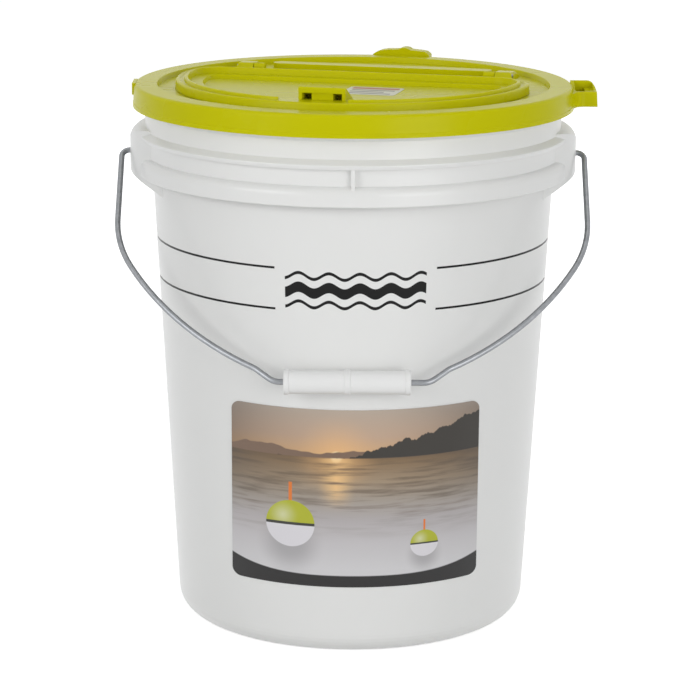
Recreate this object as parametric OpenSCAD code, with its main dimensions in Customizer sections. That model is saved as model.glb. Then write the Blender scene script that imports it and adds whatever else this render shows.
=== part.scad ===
// Lidded bait bucket: a tapered plastic pail with a wire bail, a foam liner that lifts out,
// and a push-on lid with a D-shaped hatch on two hinge pins.
// The origin is the middle of the base, +Z is up and the bail hangs to the front, along -Y.

/* [Pail] */
// Height of the rim above the floor
pail_h = 371.2; // [350:0.1:400]
// Outer radius that the wall would have at the floor
base_r = 122.6; // [120:0.1:124]
// How far the wall leans out per unit of height
lean = 0.0554; // [0.052:0.0001:0.058]
// Thickness of the wall
wall_t = 2.4; // [1.8:0.1:3]
// Thickness of the bottom plate
floor_t = 2.6; // [2:0.1:4]
// Radius of the corner between wall and base
corner_r = 15; // [10:0.5:20]
// Width of the flat foot ring
foot_w = 9; // [6:0.5:14]
// Height of the bottom plate above the foot ring's face
foot_h = 2.6; // [2:0.1:4]
// Radius of the pad in the middle of the base
pad_r = 24; // [16:1:40]
// Number of ribs under the bottom plate
foot_ribs = 12; // [6:1:24]

/* [Collar] */
// How much wider the neck is than the wall would be at the floor
neck_out = 22.4; // [21:0.1:24]
// How far the rim bead stands out from the neck
rim_out = 4.7; // [4:0.1:6]
// Height of the rim bead
rim_h = 8; // [6:0.5:10]
// How far the thin ring stands out from the neck
ring_out = 4.6; // [4:0.1:6]
// Thickness of the thin ring at its edge
ring_t = 3.4; // [2.4:0.1:5]
// Drop from the rim to the lower face of the thin ring
ring_drop = 30.7; // [28:0.1:33]
// How far the deep flange stands out from the neck
flange_out = 5; // [4:0.1:6]
// Height of the deep flange
flange_h = 13.6; // [12:0.1:15]
// Drop from the rim to the lower edge of the deep flange
flange_drop = 55.7; // [54:0.1:58]
// Number of webs hidden behind the deep flange
flange_webs = 24; // [12:4:36]
// Thickness of each web
web_t = 1.8; // [1.2:0.1:3]

/* [Ears and bail] */
// How far the outer face of an ear stands out from the deep flange
ear_out = 5.8; // [5:0.1:8]
// Radius of curvature of an ear seen from above
ear_round = 62; // [55:1:75]
// Drop from the rim to the bail's pivot
pivot_drop = 42.7; // [41:0.1:44]
// Diameter of the bail wire
wire_d = 4; // [3:0.1:4.6]
// Play round the wire where it turns in a hole
wire_play = 0.3; // [0.2:0.05:0.5]
// Radius of the bend where the wire leaves an ear
ear_bend = 5.4; // [5:0.1:7]
// Straight length of each arm from the pivot line
arm_len = 60; // [50:1:70]
// Radius of the bail's shoulder
shoulder_r = 80; // [70:1:90]
// Turn of the shoulder, in degrees
shoulder_turn = 30; // [28:1:32]
// Turn of the lower sweep, in degrees
sweep_turn = 32; // [30:1:34]
// Radius of the two small bends beside the grip
kink_r = 12; // [10:0.5:14]
// Turn of the first small bend, in degrees
kink_turn = 12; // [8:1:16]
// Straight length between the two small bends
kink_len = 11; // [8:0.5:13]
// Length of the grip
grip_len = 84.6; // [70:0.5:88]
// Gap between the end of the grip and the bend beside it
grip_gap = 2.103224; // [1:0.1:4]
// How far the grip has slid to the left on the wire
grip_side = 3; // [0:0.1:4]
// Outer radius of the grip
grip_r = 7.9; // [7:0.1:9]
// Height of the grip's end and middle beads
grip_bead = 0.6; // [0.3:0.1:1]
// Gap between the resting grip and the pail's wall
rest_gap = 0.3; // [0.2:0.1:1]

/* [Label] */
// Height of the label's lower edge above the floor
label_z = 49.5; // [40:0.5:60]
// Height of the label
label_h = 126; // [100:1:130]
// Width of the label, measured straight across
label_w = 168; // [120:1:176]
// How far the label sits to the right of the middle
label_shift = 2.8; // [0:0.1:6]
// Thickness of the label
label_t = 0.25; // [0.15:0.05:0.4]
// Radius of the label's corners
label_corner = 6; // [3:0.5:10]

/* [Lid] */
// Thickness of the skirt at the lid's top
skirt_t = 2.3; // [2:0.1:4]
// Play between the skirt and the pail's rim bead
rim_play = 0.5; // [0.3:0.1:0.8]
// Height of the skirt
skirt_h = 15.4; // [14:0.1:18]
// How far the skirt flares out towards its lower edge
skirt_flare = 0.9; // [0.5:0.1:2]
// Thickness of the lid's outer ring
lid_t = 3.2; // [2.6:0.1:4]
// Width of the flat outer ring
land_w = 16; // [14:0.5:18]
// Depth of the recess inside the flat ring
recess_d = 3.5; // [3:0.1:4.5]
// Thickness of the recessed web
floor_web = 2.2; // [1.6:0.1:3]
// Turn of the lid on the pail, in degrees, clockwise seen from above
lid_turn = 13.5; // [10:0.5:17]
// Thickness of the gasket
gasket_t = 2.5; // [2:0.1:3.5]
// Gap between pieces that rest on each other
seat_gap = 0.3; // [0.2:0.05:0.5]
// Depth of the plug ring that centres the lid in the neck
plug_d = 10; // [8:0.5:12]
// Play between the plug ring and the inside of the neck
plug_play = 2; // [1:0.1:3]
// Width of the small ledge on the lid's left edge
side_ledge_w = 22; // [14:1:30]
// Height of the small ledge on the lid's left edge
side_ledge_h = 8.2; // [6:0.1:12]

/* [Hatch] */
// Gap between the hatch's round edge and the wall of the recess
hatch_gap = 12.5; // [8:0.5:16]
// Distance from the lid's axis to the hatch's straight edge, also its corner radius
hatch_back = 28; // [26:0.5:32]
// Height of the hatch's outer bead above the lid's top face
bead_up = 3; // [2:0.1:3.5]
// Height of the hatch's inner bead above its outer one
inner_up = 1.7; // [0.5:0.1:2.2]
// Height of the hatch's ledge above the lid's top face
ledge_up = 0.4; // [0:0.1:1]
// Depth of the middle panel below the ledge
panel_drop = 2.4; // [1.5:0.1:3]
// Inset of the middle panel from the hatch's edge
panel_inset = 20.6; // [19:0.1:22]
// Thickness of the hatch
hatch_t = 2; // [1.6:0.1:2.4]
// Inset of the opening from the hatch's edge
opening_inset = 9; // [8.6:0.1:9.4]
// Thickness of the raised lip round the opening
coaming_t = 2; // [1.4:0.1:2.6]
// Distance from the hatch's straight edge back to the hinge line
hinge_back = 34; // [30:0.5:38]
// How far the inner face of a hinge ear lies inside the hatch's radius
hinge_in = 35.2; // [32:0.2:40]
// Width of a hinge ear
hinge_w = 13; // [10:0.5:14]
// Radius of the hinge pins
pin_r = 1.5; // [1:0.1:1.8]
// Play of the hatch's barrels on the pins
pin_play = 0.06; // [0.03:0.01:0.1]
// Length of each barrel
barrel_len = 8; // [7:0.5:12]

/* [Pull] */
// Width of the pull
pull_w = 32; // [26:1:40]
// Length of the pull's hood, from its lip back to the panel
hood_len = 24; // [18:0.5:28]
// Length of the flat bay that carries the pull
bay_len = 16; // [12:0.5:20]
// Distance of the bay from the hatch's round edge
bay_in = 6; // [5:0.5:8]
// Height of the pull's lip above its bay
pull_h = 8.6; // [7:0.1:11]
// How far the pull sits to the right of the hatch's middle
pull_side = 4.2; // [0:0.2:6]
// Thickness of the pull's side walls
pull_wall = 2.4; // [1.6:0.1:3]
// Thickness of the pull's lip
pull_lip = 3.8; // [3:0.1:4.4]
// Width of the rib between the two finger spaces
stem_w = 14.5; // [12:0.5:18]
// Thickness of the tongue under the pull
stem_t = 3.6; // [3:0.1:4.4]

/* [Pump pocket] */
// How far the pocket stands out from the lid's edge
pocket_out = 16.8; // [16:0.2:20]
// Width of the pocket along the lid's edge
pocket_w = 23; // [18:0.5:28]
// Height of the pocket's top above the lid's top face
pocket_up = 0.9; // [0:0.1:1.5]
// Thickness of the pocket's walls
pocket_t = 2; // [1.6:0.1:2.6]

/* [Liner] */
// Thickness of the liner's foam wall
liner_t = 15; // [10:0.5:20]
// Thickness of the liner's foam bottom
liner_floor = 20; // [12:0.5:30]
// Play between the liner and the pail
liner_play = 0.8; // [0.4:0.1:1.5]

/* [Hidden] */
$fn = 96;

white = [0.93, 0.93, 0.92];
lime = [0.74, 0.73, 0.03];
steel = [0.62, 0.63, 0.64];

// Radius of the pail's outer wall at a height
function wall_r(z) = base_r + lean * z;
// Points of an arc round a centre, from one angle to another
function arc(c, r, a0, a1, n = 6) =
    [for (i = [0:n]) c + r * [cos(a0 + (a1 - a0) * i / n), sin(a0 + (a1 - a0) * i / n)]];

lean_a = atan(lean);

// Radii of the collar's parts, each from the one that carries it
neck_r = base_r + neck_out;
rim_r = neck_r + rim_out;
ring_r = neck_r + ring_out;
flange_r = neck_r + flange_out;
ear_r = flange_r + ear_out;

// Heights of the collar's parts
neck_t = wall_t;
flange_z = pail_h - flange_drop;
flange_top = flange_z + flange_h;
ring_z = pail_h - ring_drop;
pivot_z = pail_h - pivot_drop;
shelf_z = flange_top + 0.6;
floor_top = foot_h + floor_t;

// The bail: its arms, bends and the place of its grip, in the plane in which it hangs
wire_r = wire_d / 2;
arm_x = ear_r + 0.4 + ear_bend;
slope_a = 90 - shoulder_turn;
slope_b = slope_a - sweep_turn;
slope_c = slope_b + kink_turn;
// The lower sweep takes up what the shoulder, the small bends and the grip leave free
straight_half = grip_len / 2 + grip_side + grip_gap;
sweep_r = (arm_x - shoulder_r * (1 - sin(slope_a)) - kink_r * (2 * sin(slope_c) - sin(slope_b))
    - kink_len * cos(slope_c) - straight_half) / (sin(slope_a) - sin(slope_b));
shoulder_end = [arm_x - shoulder_r * (1 - sin(slope_a)), arm_len + shoulder_r * cos(slope_a)];
sweep_end = shoulder_end
    + sweep_r * [sin(slope_b) - sin(slope_a), cos(slope_b) - cos(slope_a)];
kink_end = sweep_end + kink_r * [sin(slope_b) - sin(slope_c), cos(slope_b) - cos(slope_c)];
kink_out = kink_end + kink_len * [-cos(slope_c), sin(slope_c)];
grip_start = kink_out + kink_r * [-sin(slope_c), 1 - cos(slope_c)];
bail_reach = grip_start[1];

// The resting bail leans on the wall: its angle from straight down, towards the front
touch = wall_r(pivot_z) + (grip_r + grip_bead + rest_gap) / cos(lean_a);
bail_rest = asin(touch / (bail_reach * sqrt(1 + lean * lean))) - lean_a;

// Heights of the lid's parts
lid_under = pail_h + seat_gap + gasket_t;
lid_top = lid_under + lid_t;
recess_z = lid_top - recess_d;
skirt_in = rim_r + rim_play;
lid_r = skirt_in + skirt_t;
recess_r = lid_r - land_w;
plug_r = neck_r - neck_t - plug_play;

// Radii and places of the hatch and its hinge
hatch_r = recess_r - hatch_gap;
hinge_x = hatch_r - hinge_in;
hinge_y = hatch_back + hinge_back;

// Heights of the hatch's parts
crest_z = lid_top + bead_up;
ledge_z = lid_top + ledge_up;
panel_z = ledge_z - panel_drop;
coaming_z = ledge_z - 0.5;
hatch_foot = recess_z + seat_gap;
barrel_r = pin_r + 1.4;
hinge_z = recess_z + seat_gap + barrel_r;
bay_z = crest_z - 0.6;
bay_w = pull_w + 16;

// Body of the pail: foot ring, wall, neck and rim, as one turned section
module pail_section() {
    foot_out = wall_r(corner_r) - corner_r;
    foot_in = foot_out - foot_w;
    neck_in = neck_r - neck_t;
    outer = concat(
        [[foot_in - foot_h, foot_h], [foot_in, 0]],
        arc([foot_out, corner_r], corner_r, -90, -lean_a, 8),
        [[wall_r(flange_top - 4), flange_top - 4], [neck_r, flange_top - 1], [neck_r, pail_h - rim_h - 4.7]],
        [[rim_r, pail_h - rim_h]],
        arc([rim_r - 1.5, pail_h - 1.5], 1.5, 0, 90, 3));
    inner = concat(
        arc([neck_in + 1, pail_h - 1], 1, 90, 180, 3),
        [[neck_in, shelf_z + 3], [wall_r(shelf_z) - wall_t, shelf_z]],
        arc([foot_out, floor_top + corner_r - wall_t], corner_r - wall_t, -lean_a, -90, 8),
        [[0, floor_top], [0, foot_h]]);
    polygon(concat(outer, inner));
}

// Deep flange: a rounded shoulder and a lip that hangs clear of the wall
module flange_section() {
    lip = flange_r - wall_t;
    polygon(concat(
        [[neck_r - 1, flange_top], [neck_r - 1, flange_top - wall_t],
         [lip - 4, flange_top - wall_t - 1.4], [lip, flange_top - wall_t - 4], [lip, flange_z + 0.4],
         [lip + 0.6, flange_z], [flange_r - 0.6, flange_z], [flange_r, flange_z + 0.6]],
        arc([flange_r - 6, flange_top - 6.2], 6, 0, 70, 6)));
}

// Thin ring: flat below, sloped above
module ring_section() {
    polygon(concat(
        [[neck_r - 1, ring_z]],
        [[ring_r - 0.8, ring_z]],
        arc([ring_r - 1.2, ring_z + ring_t - 1.2], 1.2, 0, 70, 4),
        [[neck_r + 0.4, ring_z + ring_t + 2.4], [neck_r - 1, ring_z + ring_t + 3.4]]));
}

// Outline of an ear from its tapered foot to its rounded top, radius against height
module ear_section() {
    foot_z = flange_z - 11.5;
    top = ring_z + 7.8;
    in_r = wall_r(foot_z) - wall_t / 2;
    polygon(concat(
        [[in_r, foot_z], [wall_r(foot_z), foot_z]],
        arc([ear_r - 6, flange_z + 3.6], 6, -38, 0, 4),
        arc([ear_r - 9, top - 9.5], 9, 0, 82, 6),
        [[neck_r - 1, top], [neck_r - 1, shelf_z + 1], [in_r, flange_z + 3]]));
}

// One ear on the +X side: the turned outline cut to a rounded pad, hollow behind its face
module ear() {
    face_t = 3.4;
    core_w = 20;
    difference() {
        intersection() {
            rotate([0, 0, -30])
                rotate_extrude(angle = 60)
                    ear_section();
            translate([ear_r - ear_round, 0, flange_z - 20])
                cylinder(r = ear_round, h = flange_h + 60);
        }
        translate([wall_r(pivot_z) + 3.4, -core_w / 2, flange_z - 20])
            cube([ear_r - face_t - wall_r(pivot_z) - 3.4, core_w, pivot_z - flange_z + 26]);
        translate([ear_r - face_t - 1, 0, pivot_z])
            rotate([0, 90, 0])
                cylinder(r = wire_r + wire_play, h = face_t + 10, $fn = 48);
    }
}

module pail_shell() {
    foot_out = wall_r(corner_r) - corner_r;
    color(white)
        difference() {
            union() {
                rotate_extrude() pail_section();
                rotate_extrude() flange_section();
                rotate_extrude() ring_section();
                // Webs between the wall and the hanging lip
                for (i = [0:flange_webs - 1])
                    rotate([0, 0, (i + 0.5) * 360 / flange_webs])
                        translate([wall_r(flange_z + 4) - 0.8, -web_t / 2, flange_z + 3])
                            cube([flange_r - wall_t / 2 - wall_r(flange_z + 4), web_t, flange_h - 7]);
                // Ribs under the bottom plate, and a pad in its middle that also rests on the floor
                for (i = [0:foot_ribs - 1])
                    rotate([0, 0, (i + 0.5) * 360 / foot_ribs])
                        translate([pad_r - 1, -web_t / 2, 1])
                            cube([foot_out - foot_w - pad_r + 1, web_t, foot_h - 1 + floor_t / 2]);
                cylinder(r = pad_r, h = foot_h + floor_t / 2);
                // Webs across the groove at the front and the back
                for (a = [-90, 90])
                    rotate([0, 0, a])
                        translate([neck_r - 1, -web_t * 0.7, flange_top - 4])
                            cube([ring_r - neck_r, web_t * 1.4, ring_z - flange_top + 4.5]);
                for (a = [0, 180])
                    rotate([0, 0, a]) ear();
            }
            // The ears' cores also pass through the flange behind them
            for (a = [0, 180])
                rotate([0, 0, a])
                    translate([wall_r(pivot_z) + 3.4, -10, flange_z - 20])
                        cube([ear_r - 3.4 - wall_r(pivot_z) - 3.4, 20, pivot_z - flange_z + 26]);
        }
}

module front_label() {
    gap = 0.15;
    top_z = label_z + label_h;
    c = label_corner;
    color([0.55, 0.5, 0.45])
        intersection() {
            rotate([0, 0, -90 - 50])
                rotate_extrude(angle = 100)
                    polygon([[wall_r(label_z - 5) + gap, label_z - 5], [wall_r(top_z + 5) + gap, top_z + 5],
                             [wall_r(top_z + 5) + gap + label_t, top_z + 5],
                             [wall_r(label_z - 5) + gap + label_t, label_z - 5]]);
            translate([label_shift, 0, label_z + label_h / 2])
                rotate([90, 0, 0])
                    linear_extrude(height = 2 * base_r)
                        union() {
                            square([label_w - 2 * c, label_h], center = true);
                            square([label_w, label_h - 2 * c], center = true);
                            for (x = [-1, 1], y = [-1, 1])
                                translate([x * (label_w / 2 - c), y * (label_h / 2 - c)])
                                    circle(r = c, $fn = 32);
                        }
        }
}

// One straight run of wire, from a point in a direction, in the bail's plane
module wire_run(p, a, len) {
    translate([p[0], 0, -p[1]])
        rotate([0, a, 0])
            cylinder(r = wire_r, h = len, $fn = 32);
}

// One bend of wire round a centre, from one angle to another, in the bail's plane.
// A thin bend is a hair slimmer and runs a little way into the lengths beside it.
module wire_bend(c, r, a0, a1, thin = 0.02) {
    lap = thin > 0 ? 3 / r : 0;
    translate([c[0], 0, -c[1]])
        rotate([90, 0, 0])
            rotate([0, 0, a0 - lap])
                rotate_extrude(angle = a1 - a0 + 2 * lap)
                    translate([r, 0])
                        circle(r = wire_r - thin, $fn = 32);
}

// Half of the bail, from the grip out to the headed end in the ear
module bail_half() {
    head_r = wire_r + 1.6;
    head_t = 1.6;
    end_x = ear_r - 3.4 - 0.5 - head_t;
    // Headed end, pivot run and the bend down into the arm
    translate([end_x, 0, 0])
        rotate([0, 90, 0])
            cylinder(r = head_r, h = head_t, $fn = 32);
    wire_run([end_x, 0], 90, arm_x - ear_bend - end_x);
    wire_bend([arm_x - ear_bend, ear_bend], ear_bend, 0, 90);
    wire_run([arm_x, ear_bend], 180, arm_len - ear_bend);
    // Shoulder, lower sweep and the two small bends beside the grip
    wire_bend([arm_x - shoulder_r, arm_len], shoulder_r, slope_a - 90, 0);
    wire_bend(shoulder_end - sweep_r * [sin(slope_a), cos(slope_a)], sweep_r, slope_b - 90, slope_a - 90, 0);
    wire_bend(sweep_end + kink_r * [sin(slope_b), cos(slope_b)], kink_r, 90 + slope_b, 90 + slope_c);
    wire_run(kink_end, 180 + 90 - slope_c, kink_len);
    wire_bend(kink_out + kink_r * [-sin(slope_c), -cos(slope_c)], kink_r, -90, slope_c - 90);
}

// Places what is drawn in the bail's own plane at its resting angle
module bail_frame() {
    translate([0, 0, pivot_z])
        rotate([-bail_rest, 0, 0])
            children();
}

module bail_wire() {
    color(steel)
        bail_frame()
            union() {
                bail_half();
                mirror([1, 0, 0]) bail_half();
                wire_run(grip_start, -90, 2 * grip_start[0]);
            }
}

module bail_grip() {
    bore = wire_r + wire_play;
    end_w = 3.2;
    rib_w = 3.4;
    rib_0 = (grip_len - rib_w) / 2;
    rib_1 = (grip_len + rib_w) / 2;
    bead_r = grip_r + grip_bead;
    color(white)
        bail_frame()
            translate([-grip_side - grip_len / 2, 0, -bail_reach])
                rotate([0, 90, 0])
                    rotate_extrude()
                        polygon([[bore, 0], [grip_r, 0], [bead_r, 0.6], [bead_r, end_w],
                                 [grip_r, end_w + 0.6], [grip_r, rib_0 - 0.6], [bead_r, rib_0],
                                 [bead_r, rib_1], [grip_r, rib_1 + 0.6],
                                 [grip_r, grip_len - end_w - 0.6], [bead_r, grip_len - end_w],
                                 [bead_r, grip_len - 0.6], [grip_r, grip_len], [bore, grip_len]]);
}

module foam_liner() {
    z0 = floor_top + seat_gap;
    lip_z = shelf_z + 3 + seat_gap;
    top_z = lid_under - plug_d - seat_gap - 0.7;
    lip_r = neck_r - neck_t - liner_play;
    in_top = wall_r(top_z) - wall_t - liner_play - liner_t;
    in_low = wall_r(z0 + liner_floor) - wall_t - liner_play - liner_t;
    out_low = wall_r(z0 + corner_r) - wall_t - liner_play;
    c = corner_r;
    color([0.96, 0.96, 0.95])
        rotate_extrude()
            polygon(concat(
                [[0, z0]],
                arc([out_low - c, z0 + c], c, -90, -lean_a, 6),
                [[wall_r(lip_z) - wall_t - liner_play, lip_z], [lip_r, lip_z + 1], [lip_r, top_z - 2],
                 [lip_r - 2, top_z], [in_top + 3, top_z], [in_top, top_z - 3]],
                arc([in_low - 12, z0 + liner_floor + 12], 12, -lean_a, -90, 6),
                [[0, z0 + liner_floor]]));
}

// The D of the hatch, drawn in from its edge by an inset
module d_plate(inset) {
    cx = hatch_r - hatch_back;
    intersection() {
        circle(r = hatch_r - inset, $fn = 180);
        translate([-hatch_r, -hatch_r]) square([2 * hatch_r, hatch_r]);
    }
    for (s = [-1, 1])
        translate([s * cx, 0]) circle(r = hatch_back - inset, $fn = 48);
    translate([-cx, -1]) square([2 * cx, hatch_back - inset + 1]);
}

// A section swept round the D: its x is the inset from the edge, its y the height
module d_sweep() {
    cx = hatch_r - hatch_back;
    rotate([0, 0, 180])
        rotate_extrude(angle = 180, $fn = 180)
            translate([hatch_r, 0]) mirror([1, 0]) children();
    translate([cx, 0, 0])
        rotate_extrude(angle = 90)
            translate([hatch_back, 0]) mirror([1, 0]) children();
    translate([-cx, 0, 0])
        rotate([0, 0, 90])
            rotate_extrude(angle = 90)
                translate([hatch_back, 0]) mirror([1, 0]) children();
    translate([-cx, 0, 0])
        rotate([90, 0, 90])
            linear_extrude(height = 2 * cx)
                translate([hatch_back, 0]) mirror([1, 0]) children();
}

// Rim of the hatch: outer wall, two beads with a groove between, ledge and locating lip
module hatch_rim_section() {
    groove = crest_z - 0.9;
    roof = coaming_z + seat_gap;
    lip_in = opening_inset + 1.5;
    lip_z = recess_z - floor_web - 0.5;
    polygon(concat(
        [[0, hatch_foot], [0.7, crest_z - 1.5]],
        arc([2.2, crest_z - 1.5], 1.5, 180, 60, 5),
        [[4.4, groove], [6.2, groove]],
        arc([7.8, crest_z + inner_up - 1.3], 1.3, 150, 40, 5),
        [[opening_inset + 1.2, ledge_z], [panel_inset - 1.4, ledge_z], [panel_inset, panel_z],
         [panel_inset + 1.4, panel_z], [panel_inset + 1.4, panel_z - hatch_t],
         [panel_inset - 1, panel_z - hatch_t], [panel_inset - 2.4, ledge_z - hatch_t],
         [lip_in + hatch_t, ledge_z - hatch_t], [lip_in + hatch_t, lip_z], [lip_in, lip_z], [lip_in, roof],
         [2.4, roof], [1.9, roof - 0.6], [1.6, hatch_foot]]));
}

module in_lid_frame() {
    rotate([0, 0, -lid_turn]) children();
}

// Places a part of the hinge on both sides of the lid
module hinge_sides() {
    children();
    mirror([1, 0, 0]) children();
}

module hinge_bore(r, x0, x1) {
    translate([x0, hinge_y, hinge_z])
        rotate([0, 90, 0])
            cylinder(r = r, h = x1 - x0, $fn = 32);
}

// Pull: a hood that slopes back to the panel, with a finger space each side of a rib,
// and a tongue with a nose that reaches down through the opening
module hatch_pull() {
    y0 = -(hatch_r - opening_inset - 1.9);
    lip_y = y0 + stem_t + 2;
    hood_y = lip_y + hood_len;
    lip_top = bay_z + pull_h;
    nose_z = recess_z - floor_web - 0.7;
    nose = 0.8;
    sunk = 0.6;
    translate([-pull_w / 2, 0, 0])
        rotate([90, 0, 90])
            linear_extrude(height = pull_w)
                polygon([[lip_y, lip_top - pull_lip], [lip_y, lip_top - 0.8], [lip_y + 0.8, lip_top],
                         [lip_y + 3, lip_top - 0.4], [hood_y - 1, panel_z + 2.6],
                         [hood_y, panel_z - sunk], [hood_y - 4, panel_z - sunk],
                         [hood_y - 10, bay_z + 0.6],
                         [lip_y + 2.4, lip_top - pull_lip]]);
    // Side walls of the hood
    for (x = [-pull_w / 2, pull_w / 2 - pull_wall])
        translate([x, 0, 0])
            rotate([90, 0, 90])
                linear_extrude(height = pull_wall)
                    polygon([[lip_y + 0.4, bay_z - sunk], [lip_y + 0.4, lip_top - 1],
                             [lip_y + 3, lip_top - 0.6], [hood_y - 1, panel_z + 2.4],
                             [hood_y, panel_z - sunk], [hood_y - 16, panel_z - sunk]]);
    // Rib set back between the finger spaces
    translate([-stem_w / 2, 0, 0])
        rotate([90, 0, 90])
            linear_extrude(height = stem_w)
                polygon([[lip_y + 1.6, bay_z - sunk], [lip_y + 1.6, lip_top - pull_lip + 0.4],
                         [lip_y + 3, lip_top - 1.4], [hood_y - 4, panel_z + 2],
                         [hood_y - 16, panel_z - sunk]]);
    translate([-stem_w / 2, 0, 0])
        rotate([90, 0, 90])
            linear_extrude(height = stem_w)
                polygon([[y0, bay_z - sunk], [y0, nose_z], [y0 - nose, nose_z], [y0 - nose, nose_z - 1.2],
                         [y0 + 0.4, nose_z - 3.6], [y0 + stem_t, nose_z - 3.6], [y0 + stem_t, bay_z - sunk]]);
}

module hatch_door() {
    tail_y = hinge_y - barrel_r - 1;
    tail_z = hinge_z - 2.6;
    roof = coaming_z + seat_gap;
    bay_y = -(hatch_r - bay_in);
    color(lime)
        in_lid_frame()
            union() {
                difference() {
                    union() {
                        d_sweep() hatch_rim_section();
                        translate([0, 0, panel_z - hatch_t])
                            linear_extrude(height = hatch_t)
                                d_plate(panel_inset + 1);
                        // Flat bay for the pull, between the two beads
                        translate([-bay_w / 2, bay_y, roof])
                            cube([bay_w, bay_len, bay_z - roof]);
                        // Tail plate behind the straight edge, with a barrel at each end
                        translate([-hinge_x + 3, hatch_back - 1.2, tail_z])
                            cube([2 * hinge_x - 6, tail_y - hatch_back + 1.2, hatch_t]);
                        hinge_sides() {
                            hinge_bore(barrel_r, hinge_x - 0.4 - barrel_len, hinge_x - 0.4);
                            translate([hinge_x - 0.4 - barrel_len, tail_y - 1, tail_z])
                                cube([barrel_len - 2.6, hinge_y - tail_y + 1, hatch_t]);
                        }
                    }
                    hinge_sides()
                        hinge_bore(pin_r + pin_play, hinge_x - 0.4 - barrel_len + 2, hinge_x + 1);
                    // The bay interrupts the inner bead
                    translate([-bay_w / 2, bay_y, bay_z])
                        cube([bay_w, bay_len, inner_up + 4]);
                }
                translate([pull_side, 0, 0])
                    hatch_pull();
            }
}

module hinge_pins() {
    color(steel)
        in_lid_frame()
            hinge_sides()
                hinge_bore(pin_r, hinge_x - barrel_len + 3, hinge_x + hinge_w - 0.6);
}

module lid_gasket() {
    r0 = plug_r + 0.3;
    r1 = skirt_in - 0.5;
    color([0.2, 0.2, 0.2])
        rotate_extrude()
            polygon([[r0 + 0.6, lid_under], [r0, lid_under - gasket_t + 0.4],
                     [r0 + 0.6, lid_under - gasket_t], [r1 - 0.6, lid_under - gasket_t],
                     [r1, lid_under - gasket_t + 0.4], [r1 - 0.4, lid_under]]);
}

// Turned section of the lid: skirt, flat ring, recess wall, recessed web and plug ring
module lid_section() {
    skirt_z = lid_top - skirt_h;
    edge = 2.6;
    plug_t = 2;
    polygon(concat(
        [[skirt_in + 0.6, skirt_z], [lid_r + skirt_flare, skirt_z], [lid_r + skirt_flare, skirt_z + 2.6],
         [lid_r + skirt_flare - 0.3, skirt_z + 3], [lid_r, lid_top - edge]],
        arc([lid_r - edge, lid_top - edge], edge, 0, 90, 6),
        arc([recess_r + 0.8, lid_top - 0.8], 0.8, 90, 165, 3),
        [[recess_r - 1, recess_z], [0, recess_z], [0, recess_z - floor_web],
         [plug_r - plug_t, recess_z - floor_web],
         [plug_r - plug_t, lid_under - plug_d + 0.6], [plug_r - plug_t + 0.6, lid_under - plug_d],
         [plug_r - 0.6, lid_under - plug_d], [plug_r, lid_under - plug_d + 0.6], [plug_r, lid_under],
         [skirt_in, lid_under]]));
}

// One hinge ear: tapered in plan and in side view, bored for a pin
module hinge_ear() {
    top = hinge_z + barrel_r;
    intersection() {
        translate([hinge_x, 0, 0])
            rotate([90, 0, 90])
                linear_extrude(height = hinge_w)
                    polygon(concat(
                        [[hinge_y - 8, recess_z - 1], [hinge_y - 8, recess_z]],
                        arc([hinge_y, hinge_z], barrel_r, 140, 80, 4),
                        [[hinge_y + 12, top - 0.6], [hinge_y + 24, recess_z], [hinge_y + 24, recess_z - 1]]));
        translate([0, hinge_y + 30, 0])
            rotate([90, 0, 0])
                linear_extrude(height = 60)
                    polygon([[hinge_x, recess_z - 1], [hinge_x + hinge_w, recess_z - 1],
                             [hinge_x + hinge_w, recess_z],
                             [hinge_x + hinge_w - 2.2, top + 1], [hinge_x, top + 1]]);
    }
}

// Long raised bar behind the hinge, with round ends
module rear_bar() {
    half = hinge_x - 7.8;
    w = 12;
    y = hinge_y + 26;
    translate([0, 0, recess_z - 1])
        linear_extrude(height = recess_d + 1)
            union() {
                square_at(-half + w / 2, y - w / 2, 2 * half - w, w);
                for (s = [-1, 1])
                    translate([s * (half - w / 2), y]) circle(r = w / 2, $fn = 32);
            }
}

module square_at(x, y, w, h) {
    translate([x, y]) square([w, h]);
}

// Pull tab on the back edge: a low arched pad with a taller round knuckle
module rear_tab() {
    half = 21.5;
    out = 8;
    root = lid_r - 1.5;
    low = -9;
    translate([0, lid_r + out, lid_top])
        rotate([90, 0, 0])
            linear_extrude(height = lid_r + out - root)
                polygon([[-half, low], [-half, 0], [-19, 1.8], [-15.5, 3.2], [-11.5, 3.9], [-4, 4.2],
                         [5, 4.2], [14, 3.6], [18.5, 3], [21, 1.4], [half, 0.2], [half, low]]);
    translate([2.2, lid_r + out + 1.4, lid_top - 2.4])
        rotate([90, 0, 0])
            intersection() {
                cylinder(r = 8, h = out + 2.8, $fn = 48);
                translate([-10, -3, -1]) cube([20, 20, out + 6]);
            }
}

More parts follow.
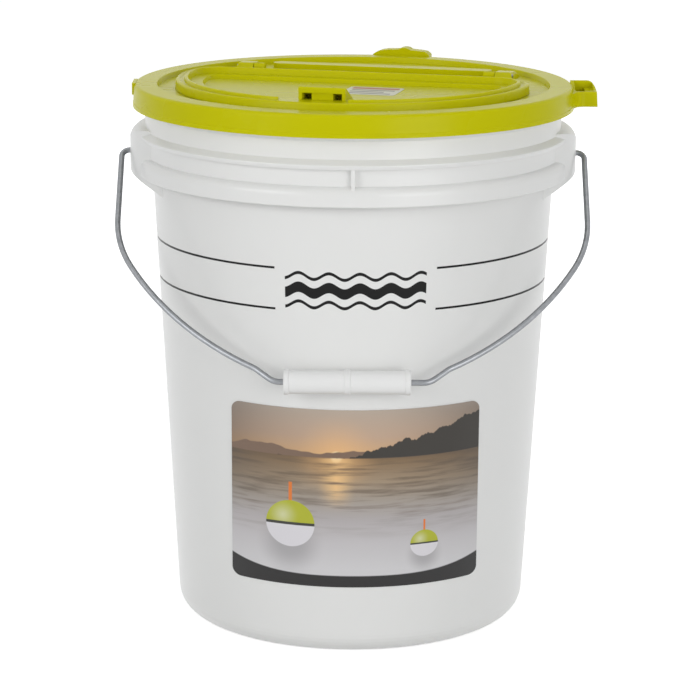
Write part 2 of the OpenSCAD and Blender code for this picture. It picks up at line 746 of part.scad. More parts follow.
// Pocket on the right edge for a pump's clip: open above, lower in front than behind
module pump_pocket() {
    x0 = lid_r - 1;
    out = lid_r + pocket_out;
    top = lid_top + pocket_up;
    low = top - skirt_h;
    front = -pocket_w / 2;
    back = pocket_w / 2;
    round_r = 5.5;
    front_top = top - 5;
    step_x = lid_r + 8.4;
    difference() {
        intersection() {
            // Rounded upper corner, seen from the front
            translate([0, back, 0])
                rotate([90, 0, 0])
                    linear_extrude(height = pocket_w)
                        polygon(concat(
                            [[x0, low], [out, low], [out - 0.6, top - round_r]],
                            arc([out - 0.6 - round_r, top - round_r], round_r, 0, 90, 6),
                            [[x0, top]]));
            // Top edge that falls towards the front, seen from the side
            translate([x0 - 1, 0, 0])
                rotate([90, 0, 90])
                    linear_extrude(height = out - x0 + 2)
                        polygon([[front, low], [back, low], [back, top], [back - pocket_t - 1, top],
                                 [front + pocket_t + 5, front_top + 0.4], [front, front_top]]);
        }
        translate([lid_r + skirt_flare + 0.6, front + pocket_t, low + pocket_t])
            cube([out - pocket_t - 0.6 - lid_r - skirt_flare - 0.6, pocket_w - 2 * pocket_t, skirt_h]);
    }
    // Step inside the pocket, with a small hole
    difference() {
        translate([step_x, front + 1, low + 1])
            cube([out - pocket_t - step_x, pocket_w - 2, front_top - low - 1.1]);
        translate([step_x + 3, 0, low - 1])
            cylinder(r = 1.4, h = skirt_h, $fn = 24);
    }
    // Blend between the skirt and the pocket's front wall
    translate([0, 0, low])
        linear_extrude(height = front_top - low)
            polygon([[lid_r - 1.9, front - 12], [lid_r + 2.6, front - 2.2], [lid_r + 5.4, front - 0.3],
                     [lid_r + 8, front], [lid_r + 8, front + 1.2], [lid_r - 1.4, front + 1.2]]);
}

module lid_frame() {
    color(lime)
        union() {
            in_lid_frame()
                difference() {
                    union() {
                        rotate_extrude($fn = 180) lid_section();
                        // Raised lip round the opening
                        translate([0, 0, recess_z - 1])
                            linear_extrude(height = coaming_z - recess_z + 1)
                                d_plate(opening_inset - coaming_t);
                        hinge_sides() hinge_ear();
                        rear_bar();
                        rear_tab();
                    }
                    translate([0, 0, lid_top - 20])
                        linear_extrude(height = 40)
                            d_plate(opening_inset);
                    hinge_sides()
                        hinge_bore(pin_r + 0.02, hinge_x - 1, hinge_x + hinge_w + 1);
                }
            pump_pocket();
            // Small ledge opposite the pocket
            translate([-lid_r - 1, -side_ledge_w / 2, lid_top - side_ledge_h])
                cube([2.6, side_ledge_w, side_ledge_h]);
        }
}

pail_shell();
front_label();
bail_wire();
bail_grip();
foam_liner();
lid_frame();
lid_gasket();
hatch_door();
hinge_pins();
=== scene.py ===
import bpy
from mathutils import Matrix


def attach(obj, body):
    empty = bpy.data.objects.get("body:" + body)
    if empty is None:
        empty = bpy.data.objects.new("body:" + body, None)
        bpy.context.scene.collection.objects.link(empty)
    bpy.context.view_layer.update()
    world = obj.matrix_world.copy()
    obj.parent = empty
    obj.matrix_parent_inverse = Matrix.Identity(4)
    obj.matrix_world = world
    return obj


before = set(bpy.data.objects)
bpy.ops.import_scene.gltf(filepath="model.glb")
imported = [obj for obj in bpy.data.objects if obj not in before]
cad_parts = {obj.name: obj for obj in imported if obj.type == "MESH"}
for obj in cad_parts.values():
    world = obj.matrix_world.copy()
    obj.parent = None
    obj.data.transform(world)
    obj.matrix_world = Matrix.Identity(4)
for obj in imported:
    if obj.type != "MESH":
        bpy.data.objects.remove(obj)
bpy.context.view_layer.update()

import math

import bmesh
import bpy
from mathutils import Matrix

# Camera and studio.
# A long lens two metres in front of the pail, a little above its lid, and a white room:
# a pale floor, a white sky behind it and broad soft lamps in front, above and behind.
camera_place = (-0.001255, -1.9824, 0.6535)
camera_pitch_deg = 13.2787
camera_roll_deg = 0.3717
lens_mm = 147.24
room_light = 0.42
floor_grey = 0.72
floor_glow = 0.72

camera_data = bpy.data.cameras.new("product_camera")
camera_data.lens = lens_mm
camera_data.sensor_width = 36.0
camera_data.sensor_fit = "HORIZONTAL"
camera = bpy.data.objects.new("product_camera", camera_data)
bpy.context.scene.collection.objects.link(camera)
turn = Matrix.Rotation(math.radians(90 - camera_pitch_deg), 4, "X")
turn = turn @ Matrix.Rotation(math.radians(camera_roll_deg), 4, "Z")
camera.location = camera_place
camera.rotation_euler = turn.to_euler()
bpy.context.scene.camera = camera
bpy.context.scene.view_settings.view_transform = "Standard"


def seen_rays(nodes, links):
    """1 where a ray comes straight from the camera or from a mirror-like or clear surface."""
    path = nodes.new("ShaderNodeLightPath")
    glossy = nodes.new("ShaderNodeMath")
    glossy.operation = "MAXIMUM"
    links.new(path.outputs["Is Camera Ray"], glossy.inputs[0])
    links.new(path.outputs["Is Glossy Ray"], glossy.inputs[1])
    clear = nodes.new("ShaderNodeMath")
    clear.operation = "MAXIMUM"
    links.new(glossy.outputs[0], clear.inputs[0])
    links.new(path.outputs["Is Transmission Ray"], clear.inputs[1])
    return clear.outputs[0]


def white_room():
    """A world that lights softly and is plain white where it is seen."""
    world = bpy.data.worlds.new("white_room")
    world.use_nodes = True
    nodes, links = world.node_tree.nodes, world.node_tree.links
    nodes.clear()
    soft = nodes.new("ShaderNodeBackground")
    soft.inputs["Color"].default_value = (0.97, 0.985, 1.0, 1)
    soft.inputs["Strength"].default_value = room_light
    plain = nodes.new("ShaderNodeBackground")
    plain.inputs["Color"].default_value = (1, 1, 1, 1)
    plain.inputs["Strength"].default_value = 1.0
    mix = nodes.new("ShaderNodeMixShader")
    links.new(seen_rays(nodes, links), mix.inputs["Fac"])
    links.new(soft.outputs[0], mix.inputs[1])
    links.new(plain.outputs[0], mix.inputs[2])
    out = nodes.new("ShaderNodeOutputWorld")
    links.new(mix.outputs[0], out.inputs["Surface"])
    bpy.context.scene.world = world


def white_floor(half=30.0):
    """A pale card just under the pail's foot, which glows white where it is seen."""
    bpy.ops.object.select_all(action="DESELECT")
    bpy.ops.mesh.primitive_plane_add(size=2 * half, location=(0, 0, -0.0002))
    floor = bpy.context.object
    floor.name = "studio_floor"
    paint = bpy.data.materials.new("white_floor")
    paint.use_nodes = True
    nodes, links = paint.node_tree.nodes, paint.node_tree.links
    nodes.clear()
    card = nodes.new("ShaderNodeBsdfDiffuse")
    card.inputs["Color"].default_value = (floor_grey, floor_grey, floor_grey, 1)
    share = nodes.new("ShaderNodeMath")
    share.operation = "MULTIPLY"
    share.inputs[1].default_value = floor_glow
    links.new(seen_rays(nodes, links), share.inputs[0])
    glow = nodes.new("ShaderNodeEmission")
    glow.inputs["Color"].default_value = (1, 1, 1, 1)
    links.new(share.outputs[0], glow.inputs["Strength"])
    both = nodes.new("ShaderNodeAddShader")
    links.new(card.outputs[0], both.inputs[0])
    links.new(glow.outputs[0], both.inputs[1])
    out = nodes.new("ShaderNodeOutputMaterial")
    links.new(both.outputs[0], out.inputs["Surface"])
    floor.data.materials.append(paint)


def soft_lamp(name, place, aim, size, watts, mirrored=True):
    """A square lamp; one that isn't mirrored lights matt faces only."""
    data = bpy.data.lights.new(name, "AREA")
    data.shape = "SQUARE"
    data.size = size
    data.energy = watts
    lamp = bpy.data.objects.new(name, data)
    bpy.context.scene.collection.objects.link(lamp)
    lamp.location = place
    lamp.visible_glossy = mirrored
    gaze = [a - p for a, p in zip(aim, place)]
    flat = math.hypot(gaze[0], gaze[1])
    lamp.rotation_euler = (math.atan2(flat, -gaze[2]), 0, math.atan2(-gaze[0], gaze[1]))


white_room()
white_floor()
soft_lamp("right_key", (1.25, -1.95, 0.62), (0, 0, 0.2), 1.3, 18)
soft_lamp("left_fill", (-1.7, -1.6, 1.0), (0, 0, 0.2), 1.2, 17.5)
soft_lamp("top_panel", (0.1, 0.2, 2.2), (0, 0, 0.3), 1.2, 4)
soft_lamp("back_fill", (0.3, 2.2, 0.8), (0, 0, 0.2), 1.4, 12, mirrored=False)


# Pail.
# One piece of white injection-moulded polyethylene, faintly waxy, with a fine moulded skin.
# Two thin black lines are printed round its upper wall, with plain printed waves between them in front.
ring_line_z = (0.2715, 0.2435)
line_half_width = 0.00075
line_end_deg = 81.0
ink_black = (0.012, 0.012, 0.012)
pail_white = (0.80, 0.80, 0.785)
wall_foot_radius = 0.1226
wall_lean = 0.0554
half_wall = 0.0012
line_gap_deg = (-22.0, 24.0)
wave_z = ((0.2672, 0.0011), (0.2575, 0.0036), (0.2478, 0.0011))
wave_height = 0.0021
wave_turns = 42.0
wave_end_deg = 20.0


def moulded_skin():
    """Node group: what an injection mould leaves on plastic, as a roughness, a tone and a normal."""
    group = bpy.data.node_groups.new("moulded_skin", "ShaderNodeTree")
    face = group.interface
    face.new_socket("Vector", in_out="INPUT", socket_type="NodeSocketVector")
    for name, value in (("Roughness", 0.4), ("Cloud", 0.05), ("Grain Size", 900.0), ("Grain", 0.1)):
        face.new_socket(name, in_out="INPUT", socket_type="NodeSocketFloat").default_value = value
    results = (("Roughness", "NodeSocketFloat"), ("Tone", "NodeSocketFloat"),
               ("Normal", "NodeSocketVector"))
    for name, kind in results:
        face.new_socket(name, in_out="OUTPUT", socket_type=kind)
    nodes, links = group.nodes, group.links
    start = nodes.new("NodeGroupInput")
    end = nodes.new("NodeGroupOutput")
    cloud = nodes.new("ShaderNodeTexNoise")
    cloud.inputs["Scale"].default_value = 14.0
    cloud.inputs["Detail"].default_value = 3.0
    links.new(start.outputs["Vector"], cloud.inputs["Vector"])
    centred = nodes.new("ShaderNodeMath")
    centred.operation = "SUBTRACT"
    centred.inputs[1].default_value = 0.5
    links.new(cloud.outputs[0], centred.inputs[0])
    swing = nodes.new("ShaderNodeMath")
    swing.operation = "MULTIPLY"
    links.new(centred.outputs[0], swing.inputs[0])
    links.new(start.outputs["Cloud"], swing.inputs[1])
    rough = nodes.new("ShaderNodeMath")
    rough.operation = "ADD"
    links.new(start.outputs["Roughness"], rough.inputs[0])
    links.new(swing.outputs[0], rough.inputs[1])
    links.new(rough.outputs[0], end.inputs["Roughness"])
    tone = nodes.new("ShaderNodeMath")
    tone.operation = "MULTIPLY_ADD"
    links.new(swing.outputs[0], tone.inputs[0])
    tone.inputs[1].default_value = 0.35
    tone.inputs[2].default_value = 1.0
    links.new(tone.outputs[0], end.inputs["Tone"])
    grain = nodes.new("ShaderNodeTexNoise")
    grain.inputs["Detail"].default_value = 2.0
    links.new(start.outputs["Vector"], grain.inputs["Vector"])
    links.new(start.outputs["Grain Size"], grain.inputs["Scale"])
    bump = nodes.new("ShaderNodeBump")
    bump.inputs["Distance"].default_value = 0.0002
    links.new(start.outputs["Grain"], bump.inputs["Strength"])
    links.new(grain.outputs[0], bump.inputs["Height"])
    links.new(bump.outputs[0], end.inputs["Normal"])
    return group


skin = moulded_skin()


def finish_for(name, slot_looks):
    """A new material with a Principled shader, and its nodes and links."""
    finish = bpy.data.materials.new(name)
    finish.use_nodes = True
    nodes, links = finish.node_tree.nodes, finish.node_tree.links
    shader = nodes["Principled BSDF"]
    for socket, value in slot_looks.items():
        shader.inputs[socket].default_value = value
    return finish, nodes, links, shader


def use_skin(nodes, links, shader, roughness, cloud, grain_size, grain):
    """Puts the moulded skin under a material and returns its tone."""
    place = nodes.new("ShaderNodeTexCoord")
    under = nodes.new("ShaderNodeGroup")
    under.node_tree = skin
    under.inputs["Roughness"].default_value = roughness
    under.inputs["Cloud"].default_value = cloud
    under.inputs["Grain Size"].default_value = grain_size
    under.inputs["Grain"].default_value = grain
    links.new(place.outputs["Object"], under.inputs["Vector"])
    links.new(under.outputs["Roughness"], shader.inputs["Roughness"])
    links.new(under.outputs["Normal"], shader.inputs["Normal"])
    return place.outputs["Object"], under.outputs["Tone"]


def maths(nodes, links, operation, first, second=None, third=None):
    """One Math node; each value is a number or the output of another node."""
    node = nodes.new("ShaderNodeMath")
    node.operation = operation
    for socket, value in zip(node.inputs, (first, second, third)):
        if value is None:
            continue
        if isinstance(value, (int, float)):
            socket.default_value = value
        else:
            links.new(value, socket)
    return node.outputs[0]


def stripe(nodes, links, value, centre, half, soft):
    """1 within half of centre, falling to 0 over soft."""
    away = maths(nodes, links, "ABSOLUTE", maths(nodes, links, "SUBTRACT", value, centre))
    span = nodes.new("ShaderNodeMapRange")
    span.interpolation_type = "SMOOTHSTEP"
    links.new(away, span.inputs["Value"])
    span.inputs["From Min"].default_value = half - soft / 2
    span.inputs["From Max"].default_value = half + soft / 2
    span.inputs["To Min"].default_value = 1.0
    span.inputs["To Max"].default_value = 0.0
    return span.outputs["Result"]


def tinted(nodes, links, tone, colour):
    """A colour, or an output, made a little lighter or darker by the skin's tone."""
    mix = nodes.new("ShaderNodeMix")
    mix.data_type = "RGBA"
    mix.blend_type = "MULTIPLY"
    mix.inputs["Factor"].default_value = 1.0
    if isinstance(colour, tuple):
        mix.inputs["A"].default_value = (*colour, 1)
    else:
        links.new(colour, mix.inputs["A"])
    links.new(tone, mix.inputs["B"])
    return mix.outputs["Result"]


def mixed(nodes, links, factor, under, over):
    """Colour over laid on colour under by a mask; each is a colour or an output."""
    mix = nodes.new("ShaderNodeMix")
    mix.data_type = "RGBA"
    links.new(factor, mix.inputs["Factor"])
    for socket, value in (("A", under), ("B", over)):
        if isinstance(value, tuple):
            mix.inputs[socket].default_value = (*value, 1)
        else:
            links.new(value, mix.inputs[socket])
    return mix.outputs["Result"]


def pail_plastic():
    finish, nodes, links, shader = finish_for("pail_plastic", {
        "IOR": 1.5, "Subsurface Weight": 0.12, "Subsurface Scale": 0.004,
        "Subsurface Radius": (1.0, 0.95, 0.9)})
    place, tone = use_skin(nodes, links, shader, 0.29, 0.04, 700.0, 0.06)
    white = tinted(nodes, links, tone, pail_white)
    axes = nodes.new("ShaderNodeSeparateXYZ")
    links.new(place, axes.inputs[0])
    x, y, z = axes.outputs
    angle = maths(nodes, links, "ARCTAN2", x, maths(nodes, links, "MULTIPLY", y, -1.0))
    lines = maths(nodes, links, "MAXIMUM", *[
        stripe(nodes, links, z, line, line_half_width, 0.0003) for line in ring_line_z])
    round_front = stripe(nodes, links, angle, 0.0, math.radians(line_end_deg), 0.004)
    gap_mid = math.radians(sum(line_gap_deg) / 2)
    gap_half = math.radians((line_gap_deg[1] - line_gap_deg[0]) / 2)
    outside = maths(nodes, links, "SUBTRACT", 1.0, stripe(nodes, links, angle, gap_mid, gap_half, 0.004))
    ink = maths(nodes, links, "MULTIPLY", lines, maths(nodes, links, "MULTIPLY", round_front, outside))
    sway = maths(nodes, links, "MULTIPLY", maths(nodes, links, "SINE",
        maths(nodes, links, "MULTIPLY", angle, wave_turns)), wave_height)
    rolling = maths(nodes, links, "SUBTRACT", z, sway)
    in_front = stripe(nodes, links, angle, gap_mid, math.radians(wave_end_deg), 0.002)
    for height, half in wave_z:
        wave = stripe(nodes, links, rolling, height, half, 0.0003)
        ink = maths(nodes, links, "MAXIMUM", ink, maths(nodes, links, "MULTIPLY", wave, in_front))
    skin_out = maths(nodes, links, "GREATER_THAN", wall_side(nodes, links, x, y, z), 0.0)
    ink = maths(nodes, links, "MULTIPLY", ink, skin_out)
    links.new(mixed(nodes, links, ink, white, ink_black), shader.inputs["Base Color"])
    links.new(maths(nodes, links, "MULTIPLY_ADD", ink, -0.30, 0.42), shader.inputs["Specular IOR Level"])
    return finish


def wall_side(nodes, links, x, y, z):
    """Positive on the pail's outer wall, negative inside it."""
    radius = maths(nodes, links, "SQRT", maths(nodes, links, "ADD",
        maths(nodes, links, "MULTIPLY", x, x), maths(nodes, links, "MULTIPLY", y, y)))
    wall = maths(nodes, links, "MULTIPLY_ADD", z, wall_lean, wall_foot_radius - half_wall)
    return maths(nodes, links, "SUBTRACT", radius, wall)


def wear(node, finish):
    """Gives a CAD node its material."""
    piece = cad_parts[node]
    piece.data.materials.clear()
    piece.data.materials.append(finish)


wear("pail_shell", pail_plastic())


# Label.
# A printed film stuck on the lower front wall, gloss laminated, with rounded corners.
# Its picture is a plain lake at dusk with two floats on the water, and a dark band at its foot.
label_z = (0.0495, 0.1755)
label_x = (-0.0812, 0.0868)
shore = 0.735
sun_place = (-0.010, 0.1425)
floats = ((-0.041, 0.0935, 0.0165), (0.050, 0.0790, 0.0095))


def disc(nodes, links, x, z, centre, radius, soft):
    """1 inside a circle drawn on the label, falling to 0 over soft."""
    across = maths(nodes, links, "SUBTRACT", x, centre[0])
    up = maths(nodes, links, "SUBTRACT", z, centre[1])
    away = maths(nodes, links, "SQRT", maths(nodes, links, "ADD",
        maths(nodes, links, "MULTIPLY", across, across), maths(nodes, links, "MULTIPLY", up, up)))
    return stripe(nodes, links, away, 0.0, radius, soft)


def below(nodes, links, top, height, soft=0.006):
    """1 where height is below top, with an edge as wide as soft."""
    edge = nodes.new("ShaderNodeMapRange")
    links.new(maths(nodes, links, "SUBTRACT", top, height), edge.inputs["Value"])
    edge.inputs["From Min"].default_value = 0.0
    edge.inputs["From Max"].default_value = soft
    return edge.outputs["Result"]


def noise_along(nodes, links, x, row, scale, detail):
    """Noise that changes along the label only."""
    along = nodes.new("ShaderNodeCombineXYZ")
    links.new(x, along.inputs[0])
    along.inputs[1].default_value = row
    crest = nodes.new("ShaderNodeTexNoise")
    crest.inputs["Scale"].default_value = scale
    crest.inputs["Detail"].default_value = detail
    links.new(along.outputs[0], crest.inputs["Vector"])
    return crest.outputs[0]


def label_film():
    finish, nodes, links, shader = finish_for("label_film", {
        "IOR": 1.5, "Specular IOR Level": 0.32, "Coat Weight": 0.15, "Coat Roughness": 0.12})
    place, tone = use_skin(nodes, links, shader, 0.30, 0.05, 500.0, 0.02)
    axes = nodes.new("ShaderNodeSeparateXYZ")
    links.new(place, axes.inputs[0])
    x, z = axes.outputs[0], axes.outputs[2]
    height = maths(nodes, links, "DIVIDE", maths(nodes, links, "SUBTRACT", z, label_z[0]),
                   label_z[1] - label_z[0])
    side = maths(nodes, links, "DIVIDE", maths(nodes, links, "SUBTRACT", x, sum(label_x) / 2),
                 (label_x[1] - label_x[0]) / 2)
    side_square = maths(nodes, links, "MULTIPLY", side, side)
    # Sky over water, from the foot up
    ramp = nodes.new("ShaderNodeValToRGB")
    links.new(height, ramp.inputs["Fac"])
    bands = ((0.10, (0.64, 0.63, 0.64)), (0.25, (0.56, 0.54, 0.55)), (0.38, (0.45, 0.42, 0.42)),
             (0.50, (0.37, 0.32, 0.27)), (0.60, (0.36, 0.27, 0.18)), (0.70, (0.26, 0.17, 0.09)),
             (shore, (0.19, 0.12, 0.06)), (shore + 0.01, (0.66, 0.40, 0.20)), (0.85, (0.54, 0.38, 0.27)),
             (1.00, (0.47, 0.39, 0.32)))
    colours = ramp.color_ramp.elements
    while len(colours) > 1:
        colours.remove(colours[-1])
    colours[0].position, colours[0].color = bands[0][0], (*bands[0][1], 1)
    for position, colour in bands[1:]:
        colours.new(position).color = (*colour, 1)
    picture = ramp.outputs["Color"]
    # The sun, its glow and its track on the water
    glow = disc(nodes, links, x, z, sun_place, 0.012, 0.040)
    picture = mixed(nodes, links, maths(nodes, links, "MULTIPLY", glow, 0.75), picture, (0.90, 0.52, 0.22))
    sun = disc(nodes, links, x, z, sun_place, 0.0035, 0.003)
    picture = mixed(nodes, links, sun, picture, (1.0, 0.82, 0.50))
    # Ripples, flat and long, and darker water towards both sides
    stretch = nodes.new("ShaderNodeMapping")
    stretch.inputs["Scale"].default_value = (26, 26, 330)
    links.new(place, stretch.inputs["Vector"])
    ripple = nodes.new("ShaderNodeTexNoise")
    ripple.inputs["Scale"].default_value = 1.0
    ripple.inputs["Detail"].default_value = 4.0
    links.new(stretch.outputs[0], ripple.inputs["Vector"])
    water = below(nodes, links, shore, height)
    crests = nodes.new("ShaderNodeMapRange")
    links.new(ripple.outputs[0], crests.inputs["Value"])
    crests.inputs["From Min"].default_value = 0.46
    crests.inputs["From Max"].default_value = 0.66
    dark_crests = maths(nodes, links, "MULTIPLY", crests.outputs["Result"], water)
    rough_water = maths(nodes, links, "MULTIPLY", dark_crests,
                        stripe(nodes, links, height, 0.62, 0.24, 0.30))
    rough_water = maths(nodes, links, "MULTIPLY", rough_water, 0.60)
    picture = mixed(nodes, links, rough_water, picture, (0.12, 0.085, 0.055))
    track = maths(nodes, links, "MULTIPLY", stripe(nodes, links, x, sun_place[0], 0.006, 0.016),
                  maths(nodes, links, "SUBTRACT", 1.0, crests.outputs["Result"]))
    track = maths(nodes, links, "MULTIPLY", track, maths(nodes, links, "MULTIPLY", water,
        stripe(nodes, links, height, 0.64, 0.14, 0.16)))
    picture = mixed(nodes, links, maths(nodes, links, "MULTIPLY", track, 0.8), picture, (0.95, 0.60, 0.26))
    shade = maths(nodes, links, "MULTIPLY", stripe(nodes, links, height, 0.80, 0.28, 0.30), 0.55)
    shade = maths(nodes, links, "MULTIPLY", side_square, shade)
    picture = mixed(nodes, links, shade, picture, (0.06, 0.05, 0.045))
    # Far hills, then a wood that rises to the right
    hills = (
        (0.775, 0.16, 26.0, 3.0, 0.00, (0.20, 0.13, 0.09)),
        (0.745, 0.12, 120.0, 9.0, 0.20, (0.035, 0.030, 0.024)))
    for level, lift, scale, detail, rise, dark in hills:
        crest = maths(nodes, links, "SUBTRACT", noise_along(nodes, links, x, level * 7, scale, detail), 0.5)
        climb = maths(nodes, links, "MULTIPLY", maths(nodes, links, "MAXIMUM", side, -0.1), rise)
        top = maths(nodes, links, "ADD", maths(nodes, links, "MULTIPLY_ADD", crest, lift, level), climb)
        land = maths(nodes, links, "MULTIPLY", below(nodes, links, top, height),
                     maths(nodes, links, "SUBTRACT", 1.0, water))
        picture = mixed(nodes, links, land, picture, dark)
    # Floats: lime above, white below, with a dark line round the middle and a stick
    for across, up, radius in floats:
        shadow = disc(nodes, links, x, z, (across, up - radius * 0.9), radius * 0.9, radius * 1.2)
        shadow = maths(nodes, links, "MULTIPLY", shadow, 0.45)
        picture = mixed(nodes, links, shadow, picture, (0.20, 0.19, 0.20))
        stick = maths(nodes, links, "MULTIPLY", stripe(nodes, links, x, across, radius * 0.07, 0.0003),
                      stripe(nodes, links, z, up + radius * 1.3, radius * 0.5, 0.0006))
        picture = mixed(nodes, links, stick, picture, (0.75, 0.20, 0.04))
        ball = disc(nodes, links, x, z, (across, up), radius, 0.0005)
        upper = below(nodes, links, z, up, 0.0004)
        cap = mixed(nodes, links, upper, (0.72, 0.70, 0.73), (0.44, 0.46, 0.03))
        gleam_place = (across - radius * 0.3, up + radius * 0.35)
        gleam = disc(nodes, links, x, z, gleam_place, radius * 0.25, radius * 0.9)
        cap = mixed(nodes, links, maths(nodes, links, "MULTIPLY", gleam, 0.5), cap, (0.90, 0.90, 0.80))
        band = stripe(nodes, links, z, up, radius * 0.06, 0.0004)
        cap = mixed(nodes, links, band, cap, (0.04, 0.04, 0.03))
        picture = mixed(nodes, links, ball, picture, cap)
    # Dark foot, a little deeper at both ends
    foot_top = maths(nodes, links, "MULTIPLY_ADD",
                     maths(nodes, links, "MULTIPLY", side_square, side_square), 0.07, 0.068)
    picture = mixed(nodes, links, below(nodes, links, foot_top, height), picture, (0.016, 0.015, 0.015))
    links.new(tinted(nodes, links, tone, picture), shader.inputs["Base Color"])
    return finish


wear("front_label", label_film())


# Bail.
# Galvanised spring wire bent to shape, with an upset head in each ear's hollow.
# The zinc is dull and slightly streaked.
zinc_dark = (0.19, 0.20, 0.21)
zinc_light = (0.36, 0.37, 0.39)


def zinc_wire():
    finish, nodes, links, shader = finish_for("zinc_wire", {"Metallic": 1.0})
    place = nodes.new("ShaderNodeTexCoord")
    streak = nodes.new("ShaderNodeTexNoise")
    streak.inputs["Scale"].default_value = 260.0
    streak.inputs["Detail"].default_value = 4.0
    links.new(place.outputs["Object"], streak.inputs["Vector"])
    tone = mixed(nodes, links, streak.outputs[0], zinc_dark, zinc_light)
    links.new(tone, shader.inputs["Base Color"])
    links.new(maths(nodes, links, "MULTIPLY_ADD", streak.outputs[0], 0.22, 0.26), shader.inputs["Roughness"])
    bump = nodes.new("ShaderNodeBump")
    bump.inputs["Strength"].default_value = 0.08
    bump.inputs["Distance"].default_value = 0.0002
    links.new(streak.outputs[0], bump.inputs["Height"])
    links.new(bump.outputs[0], shader.inputs["Normal"])
    return finish


zinc = zinc_wire()
wear("bail_wire", zinc)


# Grip.
# A smooth white polypropylene tube with a bead at each end and one in the middle.
# It was slipped over the wire before the ends were bent, and turns on it.
grip_white = (0.82, 0.82, 0.81)


def grip_plastic():
    finish, nodes, links, shader = finish_for("grip_plastic", {"IOR": 1.5, "Specular IOR Level": 0.5})
    place, tone = use_skin(nodes, links, shader, 0.28, 0.03, 900.0, 0.04)
    links.new(tinted(nodes, links, tone, grip_white), shader.inputs["Base Color"])
    return finish


wear("bail_grip", grip_plastic())


# Liner.
# A bucket of moulded expanded foam that stands inside the pail and keeps the water cold.
# Its skin shows the pressed beads that it was blown from.
bead_white = (0.88, 0.88, 0.87)
seam_grey = (0.76, 0.76, 0.75)


def bead_foam():
    finish, nodes, links, shader = finish_for("bead_foam", {"IOR": 1.45, "Specular IOR Level": 0.25})
    place = nodes.new("ShaderNodeTexCoord")
    beads = nodes.new("ShaderNodeTexVoronoi")
    beads.inputs["Scale"].default_value = 260.0
    links.new(place.outputs["Object"], beads.inputs["Vector"])
    links.new(mixed(nodes, links, beads.outputs["Distance"], bead_white, seam_grey),
              shader.inputs["Base Color"])
    links.new(maths(nodes, links, "MULTIPLY_ADD", beads.outputs["Distance"], 0.2, 0.7),
              shader.inputs["Roughness"])
    bump = nodes.new("ShaderNodeBump")
    bump.invert = True
    bump.inputs["Strength"].default_value = 0.35
    bump.inputs["Distance"].default_value = 0.0006
    links.new(beads.outputs["Distance"], bump.inputs["Height"])
    links.new(bump.outputs[0], shader.inputs["Normal"])
    return finish


wear("foam_liner", bead_foam())


# Lid.
# A lime-green moulded ring that snaps over the rim, with a recess, a pump pocket and a tab.
# Its skin is semi-gloss, so the faces that lie flat pick up the white of the room.
lime_green = (0.57, 0.55, 0.001)


def lid_plastic():
    finish, nodes, links, shader = finish_for("lid_plastic", {
        "IOR": 1.5, "Specular IOR Level": 0.07, "Subsurface Weight": 0.25, "Subsurface Scale": 0.004,
        "Subsurface Radius": (1.0, 0.9, 0.1)})
    place, tone = use_skin(nodes, links, shader, 0.27, 0.10, 800.0, 0.05)
    links.new(tinted(nodes, links, tone, lime_green), shader.inputs["Base Color"])
    return finish


lime = lid_plastic()
wear("lid_frame", lime)


# Gasket.
# A soft black foam-rubber ring in the lid's channel, which seals on the pail's rim.
# It is pressed in, and its skin is matt.
rubber_black = (0.03, 0.03, 0.03)


def gasket_rubber():
    finish, nodes, links, shader = finish_for("gasket_rubber", {"IOR": 1.45, "Specular IOR Level": 0.3})
    place, tone = use_skin(nodes, links, shader, 0.72, 0.15, 1500.0, 0.3)
    links.new(tinted(nodes, links, tone, rubber_black), shader.inputs["Base Color"])
    return finish


wear("lid_gasket", gasket_rubber())


# Hatch.
# The same lime plastic: a D-shaped door with a double bead, a sunk panel and a finger pull.
# It swings on two short steel pins in the lid's ears.
wear("hatch_door", lime)
wear("hinge_pins", zinc)


# Hatch sticker.
# A small printed vinyl notice stuck flat on the hatch's sunk panel, in line with the hatch.
# Its print is plain bars: a dull red one along the back and grey ones in front of it.
sticker_width = 0.038
sticker_depth = 0.036
sticker_corner = 0.003
sticker_thickness = 0.0002
sticker_place = (0.0130, -0.030, 0.37523)
lid_turn_deg = -13.5
vinyl_pale = (0.62, 0.62, 0.50)
dull_red = (0.34, 0.07, 0.03)
print_grey = (0.10, 0.10, 0.09)


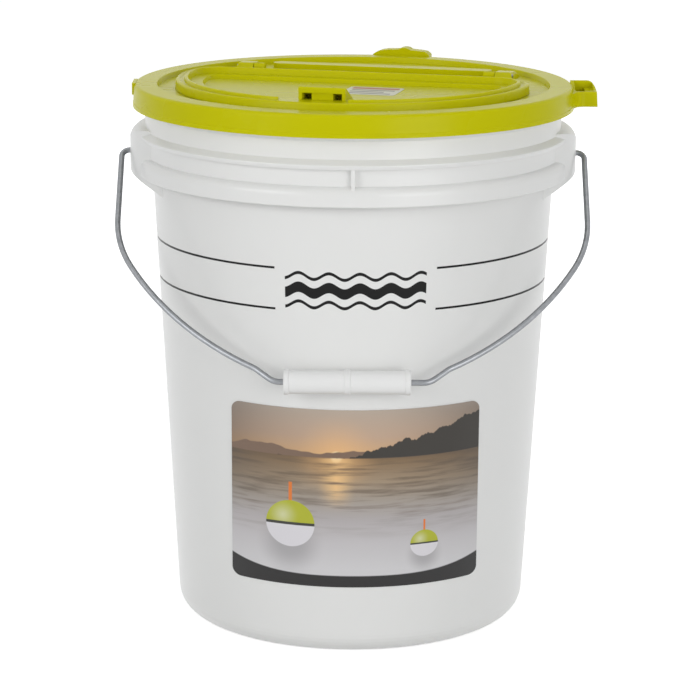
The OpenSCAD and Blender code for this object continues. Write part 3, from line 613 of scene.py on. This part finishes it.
def rounded_sheet(name, width, depth, corner, thickness):
    """A flat sheet with rounded corners; its middle is the origin."""
    shape = bmesh.new()
    rim = []
    for quarter, (right, back) in enumerate(((1, 1), (-1, 1), (-1, -1), (1, -1))):
        for step in range(7):
            angle = math.radians(90 * quarter + 15 * step)
            x = right * (width / 2 - corner) + corner * math.cos(angle)
            y = back * (depth / 2 - corner) + corner * math.sin(angle)
            rim.append(shape.verts.new((x, y, 0)))
    grown = bmesh.ops.extrude_face_region(shape, geom=[shape.faces.new(rim)])
    lifted = [part for part in grown["geom"] if isinstance(part, bmesh.types.BMVert)]
    bmesh.ops.translate(shape, verts=lifted, vec=(0, 0, thickness))
    bmesh.ops.recalc_face_normals(shape, faces=shape.faces)
    mesh = bpy.data.meshes.new(name)
    shape.to_mesh(mesh)
    shape.free()
    sheet = bpy.data.objects.new(name, mesh)
    bpy.context.scene.collection.objects.link(sheet)
    return sheet


def printed_vinyl():
    finish, nodes, links, shader = finish_for("printed_vinyl", {"IOR": 1.5, "Specular IOR Level": 0.3})
    place, tone = use_skin(nodes, links, shader, 0.34, 0.06, 900.0, 0.03)
    axes = nodes.new("ShaderNodeSeparateXYZ")
    links.new(place, axes.inputs[0])
    x, y = axes.outputs[0], axes.outputs[1]
    colour = tinted(nodes, links, tone, vinyl_pale)
    bars = (
        (0.0, 0.0115, 0.0165, 0.0036, dull_red),
        (0.0, 0.0030, 0.0150, 0.0018, print_grey),
        (-0.003, -0.0045, 0.0120, 0.0018, print_grey),
        (0.0, -0.0120, 0.0150, 0.0018, print_grey))
    for across, along, half_width, half_depth, ink in bars:
        bar = maths(nodes, links, "MULTIPLY", stripe(nodes, links, x, across, half_width, 0.0004),
                    stripe(nodes, links, y, along, half_depth, 0.0004))
        colour = mixed(nodes, links, bar, colour, ink)
    links.new(colour, shader.inputs["Base Color"])
    return finish


sticker = rounded_sheet("hatch_sticker", sticker_width, sticker_depth, sticker_corner, sticker_thickness)
sticker.data.materials.append(printed_vinyl())
sticker.rotation_euler = (0, 0, math.radians(lid_turn_deg))
sticker.location = sticker_place
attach(sticker, "hatch")
